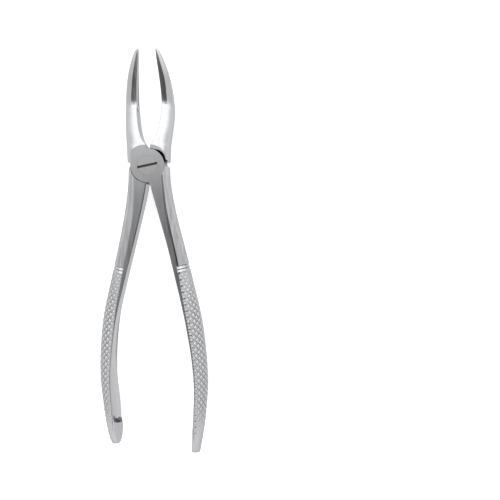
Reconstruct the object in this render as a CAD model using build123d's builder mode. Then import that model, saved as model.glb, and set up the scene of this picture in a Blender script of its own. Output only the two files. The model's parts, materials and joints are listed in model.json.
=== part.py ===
"""Extraction forceps, English pattern: two crossed steel halves lapped at a slotted joint screw.

Millimetres. The origin is on the pivot axis, on the back face of the joint. The beaks point
along +Y, +X is to the right and +Z is up, out of the face that shows the screw's head.
"""
import os
from math import sqrt

from build123d import *

# Joint: where the halves lap, each is cut to half the thickness
joint_thickness = 9.0
disc_radius = 7.1
beak_clearance = 1.25
handle_clearance = 0.25
lap_gap = 0.05
notch_above = 2.2
notch_below = 0.4
notch_undercut = 0.66
crotch_half_gap = 0.9

# Joint screw: it turns in the front half and is threaded into the back half
screw_head_radius = 4.15
screw_head_depth = 1.65
screw_shoulder_radius = 2.5
screw_thread_radius = 2.1
screw_running_gap = 0.05
slot_width = 1.0
slot_depth = 0.9
slot_angle = 11.0

# Handles: the back one is shorter than the front one
handle_length = 122.5
handle_stagger = 4.6
root_reach = 9.1
root_width = 8.2
root_flat = 6.0
grip_reach = 22.85
grip_width = 5.45
grip_depth = 13.5
grip_droop = 2.0
rim_width = 1.3
channel_depth = 2.0
end_rounding = 7.5
end_reach = 20.1
end_width = 3.7
end_tip_share = 0.65

# Shanks, from the joint down to the shoulder of the beak
shank_length = 26.4
shank_drop = 5.0
shank_depth = 7.4
shank_flat = 1.6
shank_reach = 10.7
shank_half_gap = 5.25
shank_roundness = 0.9
shoulder_rounding = 1.6

# Beaks, from the shoulder back up to the tip
beak_length = 24.4
beak_base_depth = 5.2
beak_base_facet = 2.5
beak_inset = 0.06
trough_depth = 1.1
tip_gap = 7.0
tip_width = 1.0
tip_depth = 1.4
tip_facet = 0.4

mid_plane = joint_thickness / 2
slightly = 0.05


def blend(start, end, share):
    """The value that lies the given share of the way from start to end."""
    return start + (end - start) * share


def ellipse_share(left):
    """The half height of an ellipse, as a share, with this share of its half length left to run."""
    return sqrt(1 - (1 - left) ** 2)


def limb_section(side, y, inner, outer, middle, depth, flat, hollow):
    """A slice across one limb: two flats, a convex outer side and a hollow or full inner side."""
    top = middle + depth / 2
    bottom = middle - depth / 2
    crease = inner + flat
    with BuildSketch(Plane.XZ.offset(-y)) as section:
        with BuildLine():
            Line((side * inner, bottom), (side * crease, bottom))
            ThreePointArc((side * crease, bottom), (side * outer, middle), (side * crease, top))
            Line((side * crease, top), (side * inner, top))
            ThreePointArc((side * inner, top), (side * (inner + hollow), middle), (side * inner, bottom))
        make_face()
    return section.sketch


def handle_sections(side, length):
    """Slices of a handle, from its root at the joint's notch to where its end starts to close."""
    # share of the length, of the spread, of the root's bulk, of the deepening, of the channel
    rows = (
        (0.065, 0.00, 1.00, 0.00, slightly),
        (0.170, 0.14, 0.63, 0.00, slightly),
        (0.300, 0.39, 0.37, 0.04, 0.15),
        (0.430, 0.63, 0.24, 0.12, 0.40),
        (0.565, 0.86, 0.15, 0.26, 0.75),
        (0.690, 0.97, 0.04, 0.52, 1.00),
        (0.805, 1.00, 0.00, 0.80, 1.00),
        (0.905, 0.94, 0.00, 0.97, 0.90),
    )
    sections = [
        limb_section(side, -notch_below, root_reach - root_width, root_reach - notch_below,
                     mid_plane, joint_thickness, root_flat, slightly * channel_depth)
    ]
    for along, spread, bulk, swell, hollow in rows:
        outer = blend(root_reach, grip_reach, spread)
        width = blend(grip_width, root_width, bulk)
        sections.append(limb_section(
            side, -along * (length - end_rounding), outer - width, outer,
            mid_plane - grip_droop * swell, blend(joint_thickness, grip_depth, swell),
            blend(rim_width, root_flat, bulk**1.5), channel_depth * hollow))
    return sections + end_sections(side, length)[:1]


def end_sections(side, length):
    """Slices of the handle's last stretch, which closes like a quarter of an ellipse.

    Both sides close in, to a tip that lies inside the outer side by a share of the width."""
    sections = []
    for left in (1.0, 0.8, 0.55, 0.3, 0.12, 0.02):
        full = ellipse_share(left)
        inner = end_reach - end_width * blend(end_tip_share, 1, full)
        sections.append(limb_section(
            side, -(length - end_rounding * left), inner, inner + end_width * full,
            mid_plane - grip_droop, grip_depth * full, rim_width * full,
            slightly * channel_depth * full))
    return sections


def shank_sections(side):
    """Slices of a shank, from the joint's notch down to where its shoulder starts."""
    # share of the length, share of the gap, share of the reach, share of the drop, share of the flat
    rows = (
        (0.33, 0.00, 0.15, 0.00, 1.00),
        (0.46, 0.38, 0.35, 0.06, 0.60),
        (0.59, 0.62, 0.55, 0.26, 0.25),
        (0.80, 0.85, 0.82, 0.70, 0.08),
        (1.00, 1.00, 1.00, 1.00, 0.00),
    )
    sections = [
        limb_section(side, notch_above, crotch_half_gap, root_reach - notch_undercut, mid_plane,
                     joint_thickness, root_flat, -slightly * shank_roundness)
    ]
    for along, gap, reach, drop, flat in rows:
        bulge = shank_roundness * blend(1, slightly, flat)
        sections.append(limb_section(
            side, (shank_length - shoulder_rounding) * along,
            blend(crotch_half_gap, shank_half_gap, gap) + bulge,
            blend(root_reach, shank_reach, reach), mid_plane - shank_drop * drop,
            blend(joint_thickness, shank_depth, drop), blend(shank_flat, root_flat, flat), -bulge))
    return sections


def shoulder_sections(side):
    """Slices of the shoulder, which rounds the shank down to the thickness of the beak."""
    sections = []
    for left in (1.0, 0.5, 0.15, 0.0):
        full = ellipse_share(left)
        bulge = shank_roundness * blend(slightly, 1, full)
        sections.append(limb_section(
            side, shank_length - shoulder_rounding * left, shank_half_gap + bulge, shank_reach,
            mid_plane - shank_drop, blend(beak_base_depth, shank_depth, full), shank_flat, -bulge))
    return sections


def beak_sections(side):
    """Slices of a beak, from inside the shank's shoulder to the tip."""
    # share of the length, of the closing in, of the outer taper, of the thinning, of the rise
    rows = (
        (-0.15, 0.05, 0.02, 0.00, 0.05),
        (0.02, 0.00, 0.00, 0.00, 0.00),
        (0.30, 0.14, 0.09, 0.18, 0.22),
        (0.58, 0.46, 0.31, 0.46, 0.56),
        (0.84, 0.86, 0.67, 0.80, 0.86),
        (0.96, 0.98, 0.92, 0.95, 0.97),
        (1.00, 1.00, 1.06, 1.10, 1.00),
    )
    sections = []
    for along, closing, taper, thinning, rise in rows:
        sections.append(limb_section(
            side, shank_length + beak_length * along,
            blend(shank_half_gap + beak_inset, tip_gap / 2, closing),
            blend(shank_reach - beak_inset, tip_gap / 2 + tip_width, taper),
            mid_plane - shank_drop * (1 - rise), blend(beak_base_depth, tip_depth, thinning),
            blend(beak_base_facet, tip_facet, taper), blend(trough_depth, slightly, thinning)))
    return sections


def forceps_half(length, plate_bottom, clear_bottom):
    """One half: beak on the left, handle on the right and a lapped disc between them."""
    with BuildPart() as half:
        loft(sections=shank_sections(-1))
        loft(sections=shoulder_sections(-1), ruled=True)
        loft(sections=beak_sections(-1))
        loft(sections=handle_sections(1, length))
        loft(sections=end_sections(1, length), ruled=True)
        # The faces of the joint are ground flat
        with BuildSketch(Plane.XY.offset(joint_thickness), Plane.XY.offset(-joint_thickness)):
            Rectangle(3 * root_reach, 2 * disc_radius + 2 * slightly)
        extrude(amount=joint_thickness, mode=Mode.SUBTRACT)
        # The other half's disc turns in this layer
        with BuildSketch(Plane.XY.offset(clear_bottom)):
            Circle(disc_radius + handle_clearance)
            with BuildLine():
                CenterArc((0, 0), disc_radius + beak_clearance, 0, 180)
                Line((-disc_radius - beak_clearance, 0), (disc_radius + beak_clearance, 0))
            make_face()
        extrude(amount=joint_thickness, mode=Mode.SUBTRACT)
        with BuildSketch(Plane.XY.offset(plate_bottom)):
            Circle(disc_radius)
        extrude(amount=mid_plane - lap_gap / 2)
    return half


# The front half holds the screw's head: left beak, right handle, upper layer
upper_bottom = mid_plane + lap_gap / 2
front = forceps_half(handle_length, upper_bottom, upper_bottom - joint_thickness)
with BuildPart() as front_half:
    add(front.part)
    with Locations((0, 0, joint_thickness)):
        CounterBoreHole(screw_shoulder_radius + screw_running_gap, screw_head_radius + screw_running_gap,
                        screw_head_depth, depth=joint_thickness)

# The back half holds the screw's thread: right beak, left handle, lower layer
lower_top = mid_plane - lap_gap / 2
back = forceps_half(handle_length - handle_stagger, 0, lower_top)
with BuildPart() as back_half:
    add(mirror(back.part, about=Plane.YZ, mode=Mode.PRIVATE))
    with Locations((0, 0, lower_top)):
        Hole(screw_thread_radius, depth=joint_thickness)

# The joint screw: thread, running shoulder and slotted head, ground flush with both faces
with BuildPart() as joint_screw:
    with BuildSketch():
        Circle(screw_thread_radius)
    extrude(amount=joint_thickness)
    with BuildSketch(Plane.XY.offset(lower_top)):
        Circle(screw_shoulder_radius)
    extrude(amount=joint_thickness - lower_top)
    with BuildSketch(Plane.XY.offset(joint_thickness)):
        Circle(screw_head_radius)
    extrude(amount=-(screw_head_depth - lap_gap))
    with BuildSketch(Plane.XY.offset(joint_thickness).rotated((0, 0, slot_angle))):
        Rectangle(3 * screw_head_radius, slot_width)
    extrude(amount=-slot_depth, mode=Mode.SUBTRACT)

os.makedirs("parts", exist_ok=True)
front_half.part.label = "front_half"
export_step(front_half.part, "parts/front_half.step")
back_half.part.label = "back_half"
export_step(back_half.part, "parts/back_half.step")
joint_screw.part.label = "joint_screw"
export_step(joint_screw.part, "parts/joint_screw.step")
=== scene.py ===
"""Extraction forceps: two forged steel halves with cross-cut grips, lapped at a slotted screw."""
import json
import math

import bmesh
import bpy
from mathutils import Matrix, Vector


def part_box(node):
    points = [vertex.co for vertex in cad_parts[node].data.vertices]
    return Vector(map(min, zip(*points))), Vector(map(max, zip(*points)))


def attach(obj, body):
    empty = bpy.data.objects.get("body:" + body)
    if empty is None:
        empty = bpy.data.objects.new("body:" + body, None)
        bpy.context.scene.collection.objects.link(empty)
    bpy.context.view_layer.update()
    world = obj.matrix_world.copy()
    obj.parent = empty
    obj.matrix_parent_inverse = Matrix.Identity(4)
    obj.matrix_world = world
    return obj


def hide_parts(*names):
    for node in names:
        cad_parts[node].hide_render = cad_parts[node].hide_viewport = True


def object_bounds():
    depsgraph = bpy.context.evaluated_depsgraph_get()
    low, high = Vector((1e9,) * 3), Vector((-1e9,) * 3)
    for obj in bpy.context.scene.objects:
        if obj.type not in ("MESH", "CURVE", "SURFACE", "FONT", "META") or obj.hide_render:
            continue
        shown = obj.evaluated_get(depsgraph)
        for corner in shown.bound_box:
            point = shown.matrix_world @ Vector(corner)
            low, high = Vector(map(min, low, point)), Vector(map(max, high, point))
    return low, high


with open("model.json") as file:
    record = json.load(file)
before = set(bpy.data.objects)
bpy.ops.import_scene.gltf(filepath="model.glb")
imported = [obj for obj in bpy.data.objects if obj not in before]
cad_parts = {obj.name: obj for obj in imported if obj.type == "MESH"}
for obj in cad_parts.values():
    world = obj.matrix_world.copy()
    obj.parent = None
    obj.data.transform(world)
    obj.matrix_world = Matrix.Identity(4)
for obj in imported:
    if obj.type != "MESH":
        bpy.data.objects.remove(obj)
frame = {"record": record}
cad_low, cad_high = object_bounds()
bpy.ops.object.select_all(action="DESELECT")
mm = 0.001

# --- The steel of both forgings -------------------------------------------------------------------
# Martensitic stainless steel, drop forged, then ground flat on the joint and the handle faces and
# buffed bright elsewhere. Buffing leaves hair-fine marks along each limb and slow bands across it.
bare_steel = (0.555, 0.558, 0.57, 1)
edge_tint = (0.72, 0.72, 0.74, 1)
lengthwise = (1, 0.06, 1)
hair_scale = 2600
streak_scale = 1100
gloss_scale = 900
band_scale = 330
ring_scale = 420


def noise(tree, place, scale, detail, stretch=(1, 1, 1)):
    """A noise pattern in the object's own coordinates, stretched along the axes."""
    mapping = tree.nodes.new("ShaderNodeMapping")
    mapping.inputs["Scale"].default_value = stretch
    tree.links.new(place, mapping.inputs["Vector"])
    pattern = tree.nodes.new("ShaderNodeTexNoise")
    pattern.inputs["Scale"].default_value = scale
    pattern.inputs["Detail"].default_value = detail
    tree.links.new(mapping.outputs["Vector"], pattern.inputs["Vector"])
    return pattern.outputs["Fac"]


def between(tree, value, low, high):
    """The middle stretch of a noise pattern, brought between low and high."""
    change = tree.nodes.new("ShaderNodeMapRange")
    change.inputs["From Min"].default_value = 0.3
    change.inputs["From Max"].default_value = 0.7
    change.inputs["To Min"].default_value = low
    change.inputs["To Max"].default_value = high
    tree.links.new(value, change.inputs["Value"])
    return change.outputs["Result"]


def relief(tree, height, depth, under=None):
    """A normal that follows the height pattern, laid over another relief."""
    bump = tree.nodes.new("ShaderNodeBump")
    bump.inputs["Strength"].default_value = 1
    bump.inputs["Distance"].default_value = depth
    tree.links.new(height, bump.inputs["Height"])
    if under:
        tree.links.new(under, bump.inputs["Normal"])
    return bump.outputs["Normal"]


def turned_rings(tree, place):
    """Rings about the pivot axis, as a face grinder leaves them."""
    rings = tree.nodes.new("ShaderNodeTexWave")
    rings.wave_type = "RINGS"
    rings.rings_direction = "Z"
    rings.inputs["Scale"].default_value = ring_scale
    rings.inputs["Distortion"].default_value = 3
    rings.inputs["Detail"].default_value = 3
    rings.inputs["Detail Scale"].default_value = 2
    tree.links.new(place, rings.inputs["Vector"])
    return rings.outputs["Fac"]


def steel(name, colour, roughness, hair, bands=0.0, rings=0.0, streaks=0.07, painted_darkening=0.0):
    """Steel with its marks: roughness from lowest to highest, the depth of each kind of mark, and
    the shares of its tone that the streaks and the painted shade take away."""
    material = bpy.data.materials.new(name)
    material.use_nodes = True
    tree = material.node_tree
    surface = tree.nodes["Principled BSDF"]
    surface.inputs["Metallic"].default_value = 1
    surface.inputs["Specular Tint"].default_value = edge_tint
    place = tree.nodes.new("ShaderNodeTexCoord").outputs["Object"]
    tone = tree.nodes.new("ShaderNodeMix")
    tone.data_type = "RGBA"
    tone.inputs["A"].default_value = [(1 - streaks) * part for part in colour[:3]] + [1]
    tone.inputs["B"].default_value = colour
    tree.links.new(between(tree, noise(tree, place, streak_scale, 3, lengthwise), 0, 1),
                   tone.inputs["Factor"])
    shown = tone.outputs["Result"]
    # Painted shade: the tone darkens where the residue attribute lies
    if painted_darkening:
        residue = tree.nodes.new("ShaderNodeAttribute")
        residue.attribute_name = "residue"
        painted_darker = tree.nodes.new("ShaderNodeMix")
        painted_darker.data_type = "RGBA"
        painted_darker.inputs["B"].default_value = [(1 - painted_darkening) * part for part in colour[:3]] + [1]
        tree.links.new(residue.outputs["Fac"], painted_darker.inputs["Factor"])
        tree.links.new(shown, painted_darker.inputs["A"])
        shown = painted_darker.outputs["Result"]
    tree.links.new(shown, surface.inputs["Base Color"])
    tree.links.new(between(tree, noise(tree, place, gloss_scale, 4, lengthwise), *roughness),
                   surface.inputs["Roughness"])
    normal = relief(tree, noise(tree, place, hair_scale, 2, lengthwise), hair)
    if bands:
        normal = relief(tree, noise(tree, place, band_scale, 1, lengthwise), bands, normal)
    if rings:
        normal = relief(tree, turned_rings(tree, place), rings, normal)
    tree.links.new(normal, surface.inputs["Normal"])
    return material


# The residue attribute darkens creases and cuts as painted shade, and the facets as a painted dark
# reflection
bright_steel = steel("bright_steel", bare_steel, (0.08, 0.15), 0.0008 * mm, bands=0.020 * mm, painted_darkening=0.9)
buffed_steel = steel("buffed_steel", bare_steel, (0.08, 0.15), 0.0008 * mm, bands=0.030 * mm,
                     streaks=0.28, painted_darkening=0.9)
ground_steel = steel("ground_steel", bare_steel, (0.17, 0.26), 0.0010 * mm, bands=0.005 * mm,
                     rings=0.0020 * mm, streaks=0.03, painted_darkening=0.9)
# The grip steel takes painted shade in the cuts of the grip
grip_steel = steel("grip_steel", bare_steel, (0.16, 0.26), 0.0010 * mm, painted_darkening=0.65)
# Facets: grinding streaks, and a darker tone that is a painted dark reflection
facet_steel = steel("facet_steel", bare_steel, (0.12, 0.22), 0.0012 * mm, bands=0.03 * mm, streaks=0.5,
                    painted_darkening=0.42)
# Painted shade: dark steel for walls in shade, near-black steel for the lap and its room
wall_steel = steel("wall_steel", (0.20, 0.20, 0.21, 1), (0.2, 0.3), 0.0012 * mm, streaks=0.2)
lap_steel = steel("lap_steel", (0.045, 0.045, 0.045, 1), (0.45, 0.60), 0.002 * mm)
finishes_and_painted_shades = (bright_steel, ground_steel, grip_steel, facet_steel, lap_steel, wall_steel,
                    buffed_steel)

# --- The handles ----------------------------------------------------------------------------------
# Each handle is part of its forging: flat on both faces, convex on the outside, where the grip is
# cross-cut, and hollow-ground on the inside down to a smooth lip.
joint_thickness = frame["record"]["mounts"][1]["pos_m"][2]
mid_plane = joint_thickness / 2
# The root at the joint, where the flats are wide and painted shade darkens their edges
notch_below = 0.4 * mm
root_reach = 9.05 * mm
root_width = 8.15 * mm
root_flat = 5.2 * mm
root_roll = (0.45 * mm, 0.35 * mm)
joint_edge = 4.0 * mm
lean_start = 12 * mm
course_step = 0.9 * mm
crease_mark = 0.3 * mm
painted_edge_shade = 0.85
# The bar beside the grip, where the flats narrow away and the corners get tighter
grip_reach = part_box("front_half")[1].x
grip_width = 5.45 * mm
grip_depth = 13.5 * mm
grip_droop = 2.0 * mm
rim_width = 1.2 * mm
narrow_rim = 0.35 * mm
narrow_start = 38 * mm
edge_roll = (0.22 * mm, 0.22 * mm)
roll_start = 28 * mm
roll_end = 42 * mm
# The hollow of the inner side
channel_depth = 2.0 * mm
channel_start = 20 * mm
channel_full = 78 * mm
hollow_fullness = 2.4
inside_samples = 24
# The lip, where the hollow runs out, and the rounded end
lip_length = 8.8 * mm
lip_wall = 2.3 * mm
lip_reach = 12 * mm
lip_steepens = 4 * mm
lip_fullness = 5
lip_slant = 2.25 * mm
lip_bow = 0.4 * mm
lip_roll = 0.6 * mm
lip_rings = 8
lip_step = 0.35 * mm
step_start = 70 * mm
step_full = 100 * mm
end_rounding = 7.5 * mm
end_flat = 0.6
end_rings = 28
corner_round = 0.9 * mm
# The two grooves that border the grip
row_step = 0.15 * mm
border_start = 41.5 * mm
border_rings = 25
border_places = (border_start + 5 * row_step, border_start + 14 * row_step)
border_width = 6 * row_step
border_depth = 0.42 * mm
# The cross-cut of the grip: two sets of slanting cuts, lighter where they start and where they end
cut_start = 45.0 * mm
cut_pitch = 2.6 * mm
cut_count = 7
cut_width = 0.24
cut_depth = 0.42 * mm
cut_ramp = 0.5 * mm
cut_full = 62 * mm
cut_fade = 24 * mm
light_cut = 0.6
worn_cut = 0.3
second_cut = 0.88
cut_samples = 10
arc_first = 10  # the number of a section's points before its arc
# share of the straight part, of the spread, of the root's bulk, of the deepening
handle_rows = (
    (0.000, -0.03, 1.00, 0.00),
    (0.065, 0.00, 1.00, 0.00),
    (0.170, 0.14, 0.63, 0.00),
    (0.300, 0.39, 0.37, 0.04),
    (0.430, 0.63, 0.24, 0.12),
    (0.565, 0.86, 0.15, 0.26),
    (0.690, 0.97, 0.04, 0.52),
    (0.805, 1.00, 0.00, 0.80),
    (0.905, 0.93, -0.04, 0.97),
    (0.960, 0.87, -0.22, 1.00),
    (1.000, 0.81, -0.45, 1.00),
    (1.066, 0.70, -0.75, 1.00),
)
# Each handle was ground by hand: at a share of the straight part, how far in it was pulled and how
# far the front rim hangs over the hollow, both in mm
front_grinding = (
    (0.000, 0.00, 0.00),
    (0.170, 0.00, 0.00),
    (0.300, 0.00, 0.40),
    (0.430, 0.00, 0.75),
    (0.565, 0.00, 1.00),
    (0.690, 0.00, 0.65),
    (0.805, 0.00, 0.35),
    (0.905, 0.00, 0.00),
    (1.066, 0.00, 0.00),
)
back_grinding = (
    (0.000, 0.00, 0.00),
    (0.065, 0.00, 0.35),
    (0.170, 0.28, 0.75),
    (0.300, 0.70, 0.85),
    (0.430, 0.52, 0.90),
    (0.565, 0.18, 0.90),
    (0.690, 0.00, 0.75),
    (0.805, 0.00, 0.40),
    (0.905, 0.00, 0.00),
    (1.066, 0.00, 0.00),
)


def along(rows, at):
    """The values of the rows at one place, on a smooth curve through every row."""
    k = max(0, min(len(rows) - 2, sum(row[0] <= at for row in rows) - 1))

    def slope(i):
        before, after = rows[max(i - 1, 0)], rows[min(i + 1, len(rows) - 1)]
        return [(b - a) / (after[0] - before[0]) for a, b in zip(before, after)]

    span = rows[k + 1][0] - rows[k][0]
    t = (at - rows[k][0]) / span
    starts, ends = slope(k), slope(k + 1)
    values = []
    for a, b, start, end in zip(rows[k], rows[k + 1], starts, ends):
        values.append(
            (2 * t**3 - 3 * t**2 + 1) * a + (t**3 - 2 * t**2 + t) * span * start
            + (3 * t**2 - 2 * t**3) * b + (t**3 - t**2) * span * end)
    return values[1:]


def ease(value, low, high):
    """0 below low, 1 above high, and a smooth step between."""
    t = min(1, max(0, (value - low) / (high - low)))
    return t * t * (3 - 2 * t)


def blend(start, end, share):
    """The value that lies the given share of the way from start to end."""
    return start + (end - start) * share


def bar_section(inner, outer, middle, depth, flat, hollow, roll, samples, rise=0.0, arch=math.pi / 2,
                fullness=hollow_fullness):
    """One slice of a bar, as (across, up) points round from its inner bottom corner.

    It has two flats, a convex outer side and an inner side that is hollow or full. The flats may
    rise towards the inside, the inner corners roll over, and the outer side is the middle stretch
    of an ellipse, up to the angle arch each way. A fuller hollow has steeper sides."""
    half, crease = depth / 2, inner + flat
    wide, deep = min(roll[0], 0.7 * flat), min(roll[1], 0.3 * half)
    top = half + rise * (1 - wide / flat) ** 2
    corner, level = [], []
    for k in range(4):
        turn = math.pi / 2 * k / 4
        corner.append((inner + wide * (1 - math.cos(turn)), top - deep * (1 - math.sin(turn))))
    for k in (0, 1, 2, 3, 4, 4.5):
        share = blend(wide / flat, 1, k / 5)
        if k > 4:
            share = max(share, 1 - crease_mark / flat)
        level.append((inner + flat * share, half + rise * (1 - share) ** 2))
    shoulder = corner + level
    arc = []
    for i in range(samples + 1):
        angle = blend(-arch, arch, i / samples)
        out = (math.cos(angle) - math.cos(arch)) / (1 - math.cos(arch))
        arc.append((crease + (outer - crease) * out, half * math.sin(angle) / math.sin(arch)))
    inside = []
    for i in range(1, inside_samples):
        up = blend(1, -1, i / inside_samples)
        inside.append((inner + hollow * (1 - abs(up) ** fullness), up * (top - deep)))
    points = [(across, -up) for across, up in shoulder] + arc + shoulder[::-1] + inside
    return [(across, middle + up) for across, up in points]


def wrap(name, rings, painted_shades):
    """A sheet of quads wrapped round the rings into a closed skin, which keeps where painted shade lies.
    """
    across, steps = len(rings[0]), len(rings) - 1
    bpy.ops.mesh.primitive_grid_add(x_subdivisions=across, y_subdivisions=steps, size=1)
    skin = bpy.context.object
    skin.name = skin.data.name = name
    places = [ring[i % across] for ring in rings for i in range(across + 1)]
    skin.data.vertices.foreach_set("co", [value for place in places for value in place])
    residue = skin.data.attributes.new("residue", "FLOAT", "POINT")
    residue.data.foreach_set("value", [ring[i % across] for ring in painted_shades for i in range(across + 1)])
    bpy.ops.object.mode_set(mode="EDIT")
    bpy.ops.mesh.select_all(action="SELECT")
    bpy.ops.mesh.remove_doubles(threshold=0.0001 * mm)
    bpy.ops.mesh.select_all(action="DESELECT")
    bpy.ops.mesh.select_non_manifold()
    bpy.ops.mesh.edge_face_add()
    bpy.ops.mesh.select_all(action="SELECT")
    bpy.ops.mesh.normals_make_consistent(inside=False)
    bpy.ops.object.mode_set(mode="OBJECT")
    return skin


def cross_cut(s, w):
    """How deep the grip is cut, from 0 to 1, at s along it and w across, both in pitches."""
    first, second = (1 - abs(line - round(line)) / cut_width for line in (s + w, s - w))
    return max(0, first, second * second_cut)


def groove(beyond):
    """How deep a border groove is, from 0 to 1, this far beyond its deepest line."""
    return max(0, 1 - (beyond / border_width if beyond > 0 else -3 * beyond / border_width))


def handle_line(y, handle):
    """The course of a right-hand handle at y from the joint: its middle, width, bulk and swell."""
    share = y / (handle["length"] - end_rounding)
    reach, bulk, swell = along(handle_rows, share)
    width = blend(grip_width, root_width, bulk)
    outer = blend(root_reach, grip_reach, reach) - mm * along(handle["grinding"], share)[0]
    return outer - width / 2, width, max(bulk, 0), swell


def overhang(y, up, handle):
    """How far inwards the front half of a handle's section leans, at up half depths from its middle."""
    share = y / (handle["length"] - end_rounding)
    return mm * along(handle["grinding"], share)[1] * max(0, up) ** 2


def handle_lean(y, handle):
    """How far a handle's course leans outwards at y from the joint."""
    ahead, behind = (handle_line(y + step, handle)[0] for step in (0.5 * mm, -0.5 * mm))
    return math.atan2(ahead - behind, mm) * ease(y, 0, lean_start)


def handle_flat(y, handle):
    """The width of a handle's flat face at y from the joint: it narrows away beside the grip."""
    rim = blend(rim_width, narrow_rim, ease(y, narrow_start, handle["rim_end"]))
    return blend(rim, root_flat, handle_line(y, handle)[2] ** 1.5)


def handle_place(across, y, handle):
    """Where a point at y from the joint lies, this far across the handle's course."""
    lean = handle_lean(y, handle)
    return handle_line(y, handle)[0] + across * math.cos(lean), -y + across * math.sin(lean)


def make_handle(name, handle):
    """A right-hand handle from the joint's notch to its blunt, round-edged end."""
    length = handle["length"]
    straight, lip = length - end_rounding, length - lip_length
    step = cut_pitch / cut_samples
    course_count = int((border_start - notch_below) / course_step) + 1
    places = [notch_below + course_step * i for i in range(course_count)]
    places += [border_start + row_step * i for i in range(border_rings)]
    places += [cut_start + step * (i + 0.5) for i in range(int((straight - cut_start) / step))]
    places += [lip - lip_wall * (1 - i / lip_rings) for i in range(lip_rings + 1)]
    places += [lip + 0.03 * mm]
    places += [length - end_rounding * (1 - math.sin(math.pi / 2 * i / end_rings))
               for i in range(end_rings + 1)]
    places = sorted(places)
    places[-1] = length - 0.0005 * end_rounding
    samples = cut_count * cut_samples
    inside_first = 2 * arc_first + samples + 1
    rings, painted_shades = [], []
    for y in places:
        _, width, _, swell = handle_line(y, handle)
        full = math.sqrt(max(0, 1 - (max(0, y - straight) / end_rounding) ** 2))
        corner = max(0, (y - length + corner_round) / corner_round)
        wide = width * math.cos(handle_lean(y, handle))
        wide -= 1.1 * corner_round * (1 - math.sqrt(max(0, 1 - corner**2)))
        middle = mid_plane - grip_droop * swell
        depth = blend(joint_thickness, grip_depth, swell) * full
        scoop = min(1, max(0, (lip - y) / lip_wall))
        hollow = channel_depth * ease(y, channel_start, channel_full) * math.sin(math.pi / 2 * scoop)
        stepped = lip_step * ease(y, step_start, step_full)
        ground_off = stepped * ease(scoop, 0, 1)
        rolled, at_lip = ease(y, roll_start, roll_end), ease(y, lip - lip_wall, lip)
        roll = [blend(a, b, rolled) * full + 0.001 * mm for a, b in zip(root_roll, edge_roll)]
        roll[0] += lip_step * at_lip
        roll[1] += lip_roll * at_lip
        flat = (handle_flat(y, handle) + stepped) * blend(end_flat, 1, full)
        fullness = blend(hollow_fullness, lip_fullness, ease(y, lip - lip_steepens, lip - lip_wall))
        section = bar_section(-wide / 2 + ground_off, wide / 2, middle, depth, flat - ground_off,
                              hollow, roll, samples, fullness=fullness)
        section = [(across - overhang(y, (up - middle) / (depth / 2), handle), up)
                   for across, up in section]
        ring = [(*handle_place(across, y, handle), up) for across, up in section]
        # Painted shade darkens the flat's edges near the joint
        residue = [0] * len(ring)
        if y > joint_edge:
            for i in handle["dark_points"]:
                for k in (i, inside_first - 1 - i):
                    residue[k] = painted_edge_shade * (1 - ease(y, *handle["dark_ends"]))
        # The two border grooves and the cuts of the grip go into the convex side
        border = max(groove(y - place) for place in border_places)
        fade = ease(y, cut_start, cut_start + cut_ramp) * full**0.5
        fade *= (blend(light_cut, 1, ease(y, cut_start, cut_full))
                 * blend(1, worn_cut, ease(y, length - cut_fade, straight)))
        for i in range(1, samples):
            from_edge = min(i, samples - i)
            cut = cut_depth * fade * cross_cut((y - cut_start) / cut_pitch, i / cut_samples)
            cut = max(cut * ease(from_edge / cut_samples, 0, 0.5),
                      border_depth * border * ease(from_edge, 0, 2))
            (xa, za), (xb, zb) = section[arc_first + i - 1], section[arc_first + i + 1]
            out = Vector((zb - za, xa - xb)).normalized()
            across, up = section[arc_first + i]
            ring[arc_first + i] = (*handle_place(across - cut * out.x, y, handle), up - cut * out.y)
            # Painted shade darkens the cuts, most where they are deepest
            if y > cut_start:
                edge_fade = ease(from_edge / cut_samples, 0.2, 1.2)
                residue[arc_first + i] = (cut / cut_depth) ** 2 * blend(0.3, 1, edge_fade)
        # The hollow of the inner side runs out on a slant
        near_lip = (ease(y, lip - lip_reach, lip - lip_wall)
                    * (1 - ease(y, lip + 0.1 * mm, length - mm)))
        for i, (across, height) in enumerate(section) if near_lip else ():
            if arc_first <= i <= arc_first + samples:
                continue
            up = (height - middle) / (depth / 2)
            weight = near_lip
            if i < inside_first:
                weight *= 1 - ease(across, section[0][0] + 0.2 * flat, section[0][0] + flat)
            further = weight * (lip_bow * (1 - up**2) - lip_slant * up)
            across += weight * (wide - handle_line(y + further, handle)[1]) / 2
            ring[i] = (*handle_place(across, y + further, handle), height)
        rings.append(ring)
        painted_shades.append(residue)
    return wrap(name, rings, painted_shades)


# --- The shanks and beaks -------------------------------------------------------------------------
# The other end of each forging: a round-topped shank that dips below the joint, then a slender
# beak that rises again to its tip, with hollow-ground facets and a serrated trough inside.
# The shank, ground flat beside the joint
notch_above = 2.2 * mm
shank_length = 26.4 * mm
shank_drop = 5.0 * mm
shank_depth = 7.4 * mm
shank_flat = 0.9 * mm
ground_flat = 5.0 * mm
shank_crown = 1.6 * mm
shank_reach = 10.7 * mm
shank_half_gap = 5.25 * mm
shank_bulge = 0.25 * mm
shank_rings = 60
limb_roll = 0.24 * mm
limb_samples = 44
# The shoulder between them, counted from the shank's end towards the joint and towards the tip
shoulder_above = 2.7 * mm
shoulder_below = 3.4 * mm
shoulder_softness = 1.6
# The beak and its tip
beak_base_depth = 5.2 * mm
beak_base_facet = 2.5 * mm
beak_inset = 0.06 * mm
beak_arch = math.radians(64)
trough_depth = 1.1 * mm
tip_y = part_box("front_half")[1].y
tip_half_gap = 3.5 * mm
tip_width = 1.0 * mm
tip_depth = 1.4 * mm
tip_facet = 0.4 * mm
tip_rounding = 1.2 * mm
tip_share = 0.4
tip_rings = 12
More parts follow.
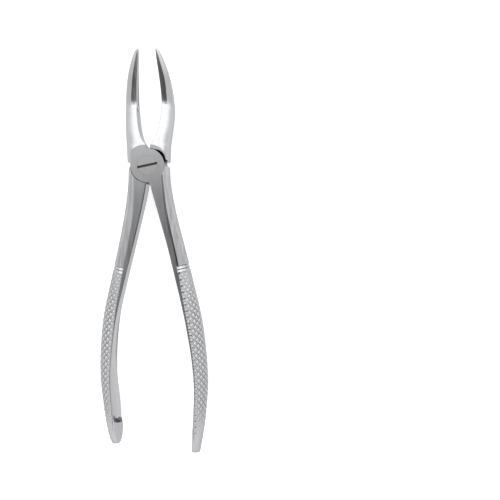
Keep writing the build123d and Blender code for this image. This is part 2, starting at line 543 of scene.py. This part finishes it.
# The serrations of the trough and the ground facets, counted from the shank's end and the tip
serration_pitch = 0.85 * mm
serration_depth = 0.20 * mm
serration_rings = 8
serration_first = 1.5 * mm
serration_full = 3 * mm
serration_last = 2.5 * mm
facet_rise = 0.035
facet_land = 0.55 * mm
facet_start = 0.9 * mm
facet_full = 4 * mm
# share of the length, of the closing in, of the outer taper, of the thinning, of the rise
beak_rows = (
    (-0.15, 0.05, 0.02, 0.00, 0.05),
    (0.02, 0.00, 0.00, 0.00, 0.00),
    (0.30, 0.14, 0.09, 0.18, 0.22),
    (0.58, 0.46, 0.31, 0.46, 0.56),
    (0.84, 0.86, 0.67, 0.80, 0.86),
    (0.96, 0.98, 0.92, 0.95, 0.97),
    (1.00, 1.00, 1.06, 1.10, 1.00),
)
# share of the length, of the gap, of the reach, of the drop, of the crown, of the ground flat
shank_rows = (
    (0.00, -0.03, -0.04, 0.00, 0.55, 1.00),
    (0.16, 0.00, 0.05, 0.00, 0.55, 1.00),
    (0.25, 0.00, 0.10, 0.02, 0.52, 1.00),
    (0.34, 0.03, 0.15, 0.04, 0.44, 0.80),
    (0.40, 0.17, 0.24, 0.10, 0.38, 0.42),
    (0.46, 0.38, 0.35, 0.17, 0.30, 0.22),
    (0.59, 0.62, 0.55, 0.34, 0.22, 0.10),
    (0.80, 0.85, 0.82, 0.70, 0.10, 0.03),
    (1.00, 0.98, 1.00, 0.98, 0.00, 0.00),
    (1.15, 1.00, 1.00, 1.00, 0.00, 0.00),
)


def shank_line(y, crotch):
    """The course of a right-hand shank at y: two sides, middle, depth, flat, hollow, rise, arch."""
    gap, reach, drop, crown, level = along(shank_rows, min(1.15, y / (shank_length - shoulder_above)))
    return (blend(crotch, shank_half_gap, gap), blend(root_reach, shank_reach, reach),
            mid_plane - shank_drop * drop,
            blend(joint_thickness, shank_depth, drop) + shank_crown * crown,
            blend(shank_flat, ground_flat, level), -shank_bulge, 0, math.pi / 2)


def beak_line(y):
    """The course of a right-hand beak at y, in the same terms."""
    closing, taper, thinning, rise = along(beak_rows, (y - shank_length) / (tip_y - shank_length))
    facet = blend(beak_base_facet, tip_facet, taper)
    return (blend(shank_half_gap + beak_inset, tip_half_gap, closing),
            blend(shank_reach - beak_inset, tip_half_gap + tip_width, taper),
            mid_plane - shank_drop * (1 - rise), blend(beak_base_depth, tip_depth, thinning),
            facet, blend(trough_depth, 0.05 * mm, thinning), facet_rise * facet, beak_arch)


def make_limb(name, crotch):
    """A right-hand shank and beak in one, from the joint's notch over the shoulder to the tip."""
    shoulder_start, shoulder_end = shank_length - shoulder_above, shank_length + shoulder_below
    stop = tip_y - tip_rounding
    step = serration_pitch / serration_rings
    places = [blend(notch_above, shoulder_start, i / shank_rings) for i in range(shank_rings)]
    places += [shoulder_start + step * i for i in range(int((stop - shoulder_start) / step))]
    places += [tip_y - tip_rounding * (1 - math.sin(math.pi / 2 * i / tip_rings))
               for i in range(tip_rings + 1)]
    places[-1] = tip_y - 0.002 * mm
    inside_first = 2 * arc_first + limb_samples + 1
    rings, painted_shades = [], []
    for y in places:
        left = min(1, max(0, (shoulder_end - y) / (shoulder_end - shoulder_start)))
        share = ease(1 - left**shoulder_softness, 0, 1)
        inner, outer, middle, depth, flat, hollow, rise, arch = (
            blend(a, b, share) for a, b in zip(shank_line(y, crotch), beak_line(y)))
        full = math.sqrt(1 - (max(0, y - stop) / (tip_y - stop)) ** 2)
        middle_x = blend(inner, outer, tip_share)
        inner, outer = blend(middle_x, inner, full), blend(middle_x, outer, full)
        section = bar_section(inner, outer, middle, depth * full, flat * full, hollow * full,
                              (limb_roll * full, limb_roll * full), limb_samples, rise * full, arch)
        fade = ease(y, shank_length + serration_first, shank_length + serration_full)
        fade *= 1 - ease(y, tip_y - serration_last, stop)
        wave = 0.5 - 0.5 * math.cos(2 * math.pi * (y - shank_length) / serration_pitch)
        for i in [0, 1] + list(range(inside_first - 2, len(section))):
            across, up = section[i]
            section[i] = (across + serration_depth * wave * fade, up)
        rings.append([(across, y, up) for across, up in section])
        # A painted dark reflection lies on the facets' own points
        facet = ease(y, shank_length + serration_first, shank_length + facet_full)
        painted_shades.append([facet if 5 < min(i, inside_first - 1 - i) < arc_first else 0
                         for i in range(len(section))])
    return wrap(name, rings, painted_shades)


# --- The front half -------------------------------------------------------------------------------
# The upper forging: left beak, right handle, and the upper leaf of the lapped joint, counterbored
# for the head of the screw. The lap and both faces of the joint are ground flat.
disc_radius = 7.1 * mm
room_radius = 4.55 * mm
room_reach = 8.3 * mm
room_angle = math.radians(33)
handle_clearance = 0.25 * mm
lap_gap = 0.05 * mm
ground_radius = 8.9 * mm
screw_head_radius = 4.15 * mm
screw_head_depth = 1.65 * mm
screw_shoulder_radius = 2.5 * mm
screw_thread_radius = 2.1 * mm
screw_running_gap = 0.05 * mm
front_crotch = 0.25 * mm  # how far beside the middle this shank's inner side starts
nearly = 0.02 * mm


def round_bar(name, radius, bottom, top, sides=180, x=0.0, y=0.0):
    """A closed upright cylinder, on the pivot axis unless x and y say otherwise."""
    bpy.ops.mesh.primitive_cylinder_add(vertices=sides, radius=radius, depth=top - bottom,
                                        location=(x, y, (top + bottom) / 2))
    bpy.ops.object.transform_apply(location=True)
    bar = bpy.context.object
    bar.name = name
    return bar


def combine(piece, other, operation):
    """Joins another solid to the piece, or cuts it away, and removes the other."""
    change = piece.modifiers.new("combine", "BOOLEAN")
    change.operation = operation
    change.solver = "MANIFOLD"
    change.object = other
    bpy.ops.object.select_all(action="DESELECT")
    bpy.context.view_layer.objects.active = piece
    piece.select_set(True)
    bpy.ops.object.modifier_apply(modifier=change.name)
    bpy.data.objects.remove(other)


def make_half(name, handle, crotch, leaf_bottom, clear_bottom):
    """One forging with its beak on the left and its handle on the right."""
    half = make_limb(name, crotch)
    half.data.transform(Matrix.Scale(-1, 4, (1, 0, 0)))
    half.data.flip_normals()
    combine(half, make_handle("handle", handle), "UNION")
    for bottom in (joint_thickness, -joint_thickness):
        combine(half, round_bar("face", ground_radius, bottom, bottom + joint_thickness), "DIFFERENCE")
    # The other half's leaf turns in this layer, with more room beside the shank
    clear_top = clear_bottom + joint_thickness
    room = round_bar("room", disc_radius + handle_clearance, clear_bottom, clear_top)
    combine(half, room, "DIFFERENCE")
    side = room_reach - room_radius
    more_room = round_bar("more_room", room_radius, clear_bottom, clear_top, 120,
                          -side * math.cos(room_angle), side * math.sin(room_angle))
    combine(half, more_room, "DIFFERENCE")
    leaf = round_bar("leaf", disc_radius, leaf_bottom, leaf_bottom + mid_plane - lap_gap / 2)
    combine(half, leaf, "UNION")
    return half


def shade(piece):
    """Smooth shading that keeps the flat faces flat and the edges crisp."""
    bpy.ops.object.select_all(action="DESELECT")
    bpy.context.view_layer.objects.active = piece
    piece.select_set(True)
    bpy.ops.object.shade_smooth_by_angle(angle=math.radians(15))
    even = piece.modifiers.new("even", "WEIGHTED_NORMAL")
    even.keep_sharp = True
    even.weight = 80
    bpy.ops.object.modifier_apply(modifier=even.name)


def finish_of(place, facing, side, handle):
    """Which finish or painted shade a face of a forging has, by where it lies and which way it faces."""
    radius = math.hypot(place.x, place.y)
    outwards = (place.x * facing.x + place.y * facing.y) / radius
    level = abs(facing.z) > 0.9975
    outside = not nearly < place.z < joint_thickness - nearly
    # The lap and the walls of its room get near-black painted shade, the rim of the leaf dark painted
    # shade
    if radius < room_reach + 0.1 * mm and not outside:
        if level or (outwards < -0.5 and abs(facing.z) < 0.05):
            return lap_steel
        if outwards > 0.99 and radius < disc_radius + nearly:
            return wall_steel
    # The ground faces of the joint and the handle
    if level and (outside or place.y < 0) and (place.y < 0 or radius < ground_radius):
        return ground_steel
    # The handle's convex side, from the crease outwards
    if place.y < -joint_edge:
        y = -place.y
        middle_x, width = handle_line(y, handle)[:2]
        across = (side * place.x - middle_x) / math.cos(handle_lean(y, handle))
        across += overhang(y, 1 if place.z > mid_plane else 0, handle)
        crease = handle_flat(y, handle) - width / 2
        if side * facing.x > -0.15 and across > crease + 0.05 * mm:
            return grip_steel if y > cut_start else buffed_steel
    # The wall where the hollow runs out at the lip, in dark painted shade
    lip_wall_end = lip_length + 6 * mm - handle["length"]
    if place.y < lip_wall_end and facing.y > 0.35 and abs(facing.z) < 0.7:
        return wall_steel
    # The beak's ground facets, with grinding streaks and a painted dark reflection, without the bright
    # land along their inner edge
    if place.y > shank_length + facet_start:
        inner, facet = beak_line(place.y)[0], beak_line(place.y)[4]
        land = facet_land * facet / beak_base_facet
        if abs(facing.z) > 0.85 and inner + land < abs(place.x) < inner + facet:
            return facet_steel
    return bright_steel


def finish_steel(piece, body, node, side, handle):
    """The finished forging: every face gets its finish or painted shade, and the ground faces end in a
    clean edge.
    """
    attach(piece, body)
    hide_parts(node)
    piece.data.materials.clear()
    for finish in finishes_and_painted_shades:
        piece.data.materials.append(finish)
    slots = {finish: i for i, finish in enumerate(finishes_and_painted_shades)}
    shape = bmesh.new()
    shape.from_mesh(piece.data)
    for face in shape.faces:
        finish = finish_of(face.calc_center_median(), face.normal, side, handle)
        face.material_index = slots[finish]
    for edge in shape.edges:
        meeting = {face.material_index for face in edge.link_faces}
        if len(meeting) == 2 and slots[ground_steel] in meeting and edge.verts[0].co.y > 0:
            edge.smooth = False
    shape.to_mesh(piece.data)
    shape.free()
    shade(piece)


upper_bottom = mid_plane + lap_gap / 2
# Painted shade darkens the creases of this handle's flats
front_handle = {"length": -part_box("front_half")[0].y, "grinding": front_grinding,
                "rim_end": 60 * mm, "dark_points": (arc_first,), "dark_ends": (28 * mm, 33 * mm)}
front = make_half("front_forging", front_handle, front_crotch, upper_bottom,
                  upper_bottom - joint_thickness)
bore = round_bar("bore", screw_shoulder_radius + screw_running_gap, 0, 2 * joint_thickness)
combine(front, bore, "DIFFERENCE")
counterbore = round_bar("counterbore", screw_head_radius + screw_running_gap,
                        joint_thickness - screw_head_depth, 2 * joint_thickness)
combine(front, counterbore, "DIFFERENCE")
finish_steel(front, "front", "front_half", 1, front_handle)

# --- The back half --------------------------------------------------------------------------------
# The lower forging, the mirror image of the front one but with a shorter handle. The tapped hole
# for the screw goes right through its leaf.
back_crotch = 1.2 * mm  # this one starts further out
lower_top = mid_plane - lap_gap / 2
# Painted shade darkens the inner corners of this handle's flats
back_handle = {"length": -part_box("back_half")[0].y, "grinding": back_grinding,
               "rim_end": 70 * mm, "dark_points": (2, 3), "dark_ends": (30 * mm, 45 * mm)}
back = make_half("back_forging", back_handle, back_crotch, 0, lower_top)
combine(back, round_bar("tapped_hole", screw_thread_radius, -mm, joint_thickness), "DIFFERENCE")
back.data.transform(Matrix.Scale(-1, 4, (1, 0, 0)))
back.data.flip_normals()
finish_steel(back, "back", "back_half", -1, back_handle)

# --- The joint screw ------------------------------------------------------------------------------
# A turned steel screw. Its slotted head lies flush in the counterbore, and its end is ground off
# flush with the back face, so only two fine rings and the slot show.
slot_width = 1.0 * mm
slot_depth = 0.9 * mm
slot_angle = math.radians(11)
edge_break = 0.02 * mm
head_bottom = joint_thickness - screw_head_depth + lap_gap


def slab(name, low, high):
    """A closed block between two corners."""
    bpy.ops.mesh.primitive_cube_add(size=1, location=[(a + b) / 2 for a, b in zip(low, high)])
    block = bpy.context.object
    block.name = name
    block.scale = [b - a for a, b in zip(low, high)]
    bpy.ops.object.transform_apply(location=True, scale=True)
    return block


screw = round_bar("slotted_screw", screw_head_radius, head_bottom, joint_thickness, 128)
cut = slab("slot", (-5 * mm, -slot_width / 2, joint_thickness - slot_depth),
           (5 * mm, slot_width / 2, joint_thickness + mm))
cut.data.transform(Matrix.Rotation(slot_angle, 4, "Z"))
combine(screw, cut, "DIFFERENCE")
shoulder = round_bar("shoulder", screw_shoulder_radius, lower_top, head_bottom + 0.1 * mm, 96)
combine(screw, shoulder, "UNION")
combine(screw, round_bar("thread", screw_thread_radius - 0.01 * mm, 0, mid_plane, 96), "UNION")
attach(screw, "back")
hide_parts("joint_screw")
screw_face = steel("screw_face", (0.552, 0.553, 0.555, 1), (0.19, 0.28), 0.0012 * mm,
                   rings=0.0015 * mm, streaks=0.03)
slot_floor = steel("slot_floor", (0.15, 0.147, 0.12, 1), (0.4, 0.6), 0.004 * mm)
screw.data.materials.clear()
for finish in (screw_face, slot_floor):
    screw.data.materials.append(finish)
for face in screw.data.polygons:
    inside = math.hypot(face.center.x, face.center.y) < screw_head_radius - 0.05 * mm
    if inside and head_bottom < face.center.z < joint_thickness - 0.01 * mm:
        face.material_index = 1
bevel = screw.modifiers.new("edge_break", "BEVEL")
bevel.width = edge_break
bevel.segments = 1
bevel.limit_method = "ANGLE"
bevel.angle_limit = math.radians(40)
bpy.ops.object.modifier_apply(modifier=bevel.name)
shade(screw)

# --- Floor, light and camera ----------------------------------------------------------------------
# A plain white table under an even white light tent that is darker straight above. The table keeps
# the forceps' shadow, and looks about as white in the polished steel as it does to the eye.
table_white = 0.86
table_in_steel = 0.15
glow_in_view = 0.55
glow_in_steel = 0.85
bpy.ops.mesh.primitive_plane_add(size=6, location=(0, 0, cad_low.z))
floor = bpy.context.object
floor.name = "floor"
floor_paint = bpy.data.materials.new("floor_paint")
floor_paint.use_nodes = True
tree = floor_paint.node_tree
tree.nodes["Principled BSDF"].inputs["Roughness"].default_value = 0.9
glow = tree.nodes.new("ShaderNodeEmission")
rays = tree.nodes.new("ShaderNodeLightPath")
paint = tree.nodes.new("ShaderNodeMix")
paint.data_type = "RGBA"
paint.inputs["A"].default_value = (table_white, table_white, table_white, 1)
paint.inputs["B"].default_value = (table_in_steel, table_in_steel, table_in_steel, 1)
tree.links.new(rays.outputs["Is Glossy Ray"], paint.inputs["Factor"])
tree.links.new(paint.outputs["Result"], tree.nodes["Principled BSDF"].inputs["Base Color"])
mirrored = tree.nodes.new("ShaderNodeMath")
mirrored.operation = "MULTIPLY"
mirrored.inputs[1].default_value = glow_in_steel
tree.links.new(rays.outputs["Is Glossy Ray"], mirrored.inputs[0])
lift = tree.nodes.new("ShaderNodeMath")
lift.operation = "MULTIPLY_ADD"
lift.inputs[1].default_value = glow_in_view
tree.links.new(rays.outputs["Is Camera Ray"], lift.inputs[0])
tree.links.new(mirrored.outputs[0], lift.inputs[2])
tree.links.new(lift.outputs[0], glow.inputs["Strength"])
both = tree.nodes.new("ShaderNodeAddShader")
tree.links.new(tree.nodes["Principled BSDF"].outputs["BSDF"], both.inputs[0])
tree.links.new(glow.outputs["Emission"], both.inputs[1])
tree.links.new(both.outputs["Shader"], tree.nodes["Material Output"].inputs["Surface"])
floor.data.materials.append(floor_paint)

# The tent glows brightest beyond the beaks. Its roof is darker, and darkest at the opening
tent = bpy.data.worlds.new("tent")
bpy.context.scene.world = tent
tent.use_nodes = True
tree = tent.node_tree
direction = tree.nodes.new("ShaderNodeTexCoord").outputs["Generated"]
parts_of = tree.nodes.new("ShaderNodeSeparateXYZ")
tree.links.new(direction, parts_of.inputs[0])


def soft_step(value, start, stop, low, high):
    """A soft change of brightness from low to high as the value goes from start to stop."""
    step = tree.nodes.new("ShaderNodeMapRange")
    step.interpolation_type = "SMOOTHSTEP"
    settings = {"From Min": start, "From Max": stop, "To Min": low, "To Max": high}
    for name, setting in settings.items():
        step.inputs[name].default_value = setting
    tree.links.new(value, step.inputs["Value"])
    return step.outputs["Result"]


def worked_out(operation, first, second):
    """Two brightnesses put together."""
    together = tree.nodes.new("ShaderNodeMath")
    together.operation = operation
    tree.links.new(first, together.inputs[0])
    tree.links.new(second, together.inputs[1])
    return together.outputs[0]


def dark_place(middle, size, depth):
    """A soft-edged dark oval in the tent's roof, as a share of the brightness."""
    aside = tree.nodes.new("ShaderNodeVectorMath")
    aside.operation = "SUBTRACT"
    aside.inputs[1].default_value = (*middle, 0)
    tree.links.new(direction, aside.inputs[0])
    scaled = tree.nodes.new("ShaderNodeVectorMath")
    scaled.operation = "MULTIPLY"
    scaled.inputs[1].default_value = (1 / size[0], 1 / size[1], 0)
    tree.links.new(aside.outputs["Vector"], scaled.inputs[0])
    distance = tree.nodes.new("ShaderNodeVectorMath")
    distance.operation = "LENGTH"
    tree.links.new(scaled.outputs["Vector"], distance.inputs[0])
    return soft_step(distance.outputs["Value"], 0.4, 1, depth, 1)


near = soft_step(parts_of.outputs["Y"], -0.35, -0.10, 1.05, 0.80)
far = soft_step(parts_of.outputs["Y"], 0.00, 0.58, 0, 1.05)
sideways = tree.nodes.new("ShaderNodeMath")
sideways.operation = "ABSOLUTE"
tree.links.new(parts_of.outputs["X"], sideways.inputs[0])
far = worked_out("MULTIPLY", far, soft_step(sideways.outputs[0], 0.30, 0.90, 1, 0.2))
roof = dark_place((-0.08, -0.08), (0.46, 0.42), 0.24)
opening = dark_place((0.20, -0.04), (0.16, 0.36), 0.02)
glowing = worked_out("MULTIPLY", worked_out("ADD", near, far), worked_out("MULTIPLY", roof, opening))
tree.links.new(glowing, tree.nodes["Background"].inputs["Strength"])
tree.nodes["Background"].inputs["Color"].default_value = (1, 1, 1, 1)

camera_data = bpy.data.cameras.new("camera")
camera = bpy.data.objects.new("camera", camera_data)
bpy.context.scene.collection.objects.link(camera)
bpy.context.scene.camera = camera
camera_data.sensor_width = 36
camera_data.lens = 34.7
camera.location = (42 * mm, -36.2 * mm, mid_plane + 205 * mm)
camera.rotation_euler = (0, 0, math.radians(-1.23))
camera_data.clip_start = 0.01
bpy.context.scene.view_settings.view_transform = "Standard"
